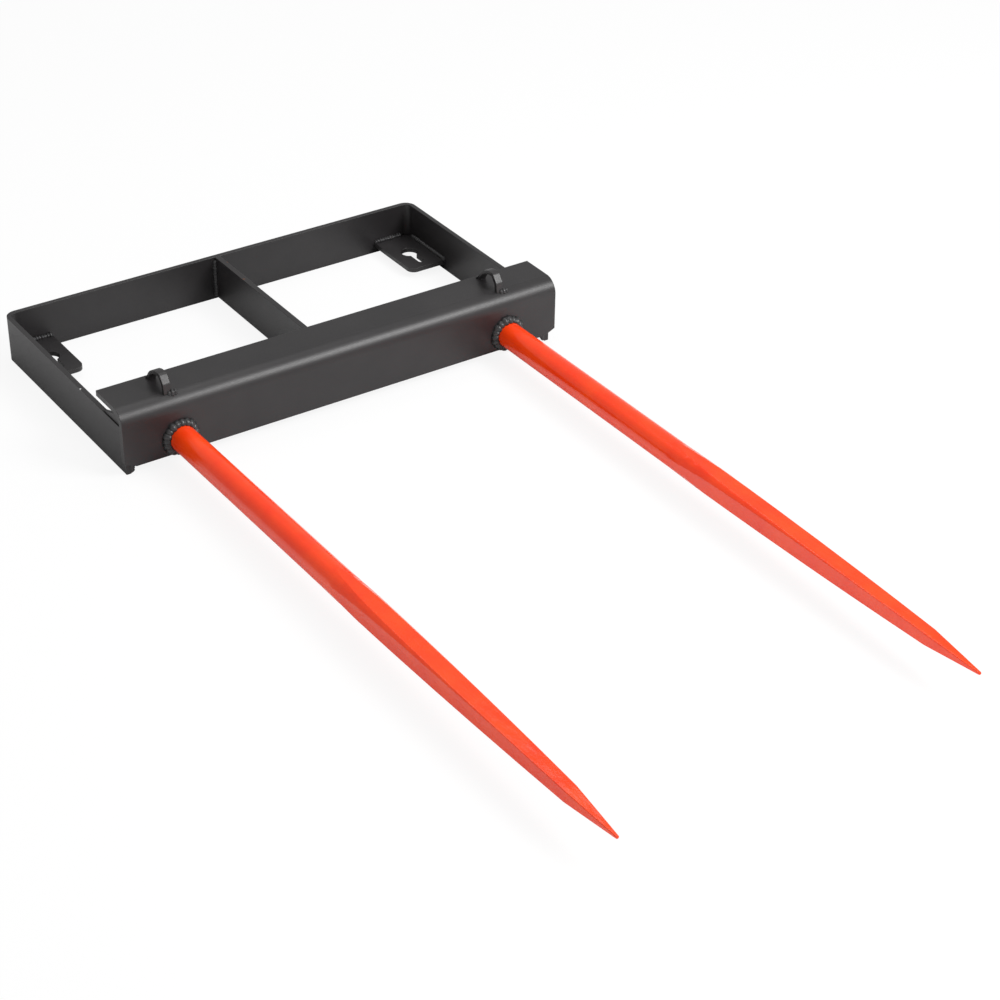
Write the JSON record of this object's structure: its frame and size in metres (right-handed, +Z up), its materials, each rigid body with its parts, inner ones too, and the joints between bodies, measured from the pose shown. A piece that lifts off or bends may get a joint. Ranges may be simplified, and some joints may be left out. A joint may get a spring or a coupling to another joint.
{
  "type": "twin bale spear",
  "caption": "Bucket-mounted bale spear: a flat-bar carrier with a folded cross beam that slips over a loader bucket's cutting edge, chain lugs at its corners and two forged, tapered tines.",
  "frame": {"origin": "on the front face of the cross beam, midway between the tines and level with them", "axes": "-Y forward along the tines, +Z up, +X towards the right end as seen by someone who stands in front of the points and looks at the beam"},
  "size_m": [0.812, 1.5969, 0.146],
  "materials": {
    "frame_paint": "satin charcoal powder coat",
    "tine_paint": "gloss orange-red enamel",
    "weld_metal": "painted weld bead",
    "loop_metal": "satin charcoal powder coat on flat bar"
  },
  "bodies": {
    "root": {"u_frame": "frame_paint", "front_beam": "frame_paint", "centre_divider": "frame_paint", "left_tine": "tine_paint", "left_keyhole_tab": "frame_paint", "left_chain_loop": "loop_metal", "left_slot_rib": "frame_paint", "left_tine_weld": "weld_metal", "left_tine_rear_weld": "weld_metal", "left_tab_rear_weld": "weld_metal", "left_tab_side_weld": "weld_metal", "left_loop_front_weld": "weld_metal", "left_loop_rear_weld": "weld_metal", "left_arm_weld": "weld_metal", "divider_rear_weld_left": "weld_metal", "divider_front_weld_left": "weld_metal", "right_tine": "tine_paint", "right_keyhole_tab": "frame_paint", "right_chain_loop": "loop_metal", "right_slot_rib": "frame_paint", "right_tine_weld": "weld_metal", "right_tine_rear_weld": "weld_metal", "right_tab_rear_weld": "weld_metal", "right_tab_side_weld": "weld_metal", "right_loop_front_weld": "weld_metal", "right_loop_rear_weld": "weld_metal", "right_arm_weld": "weld_metal", "divider_rear_weld_right": "weld_metal", "divider_front_weld_right": "weld_metal"}
  },
  "joints": []
}
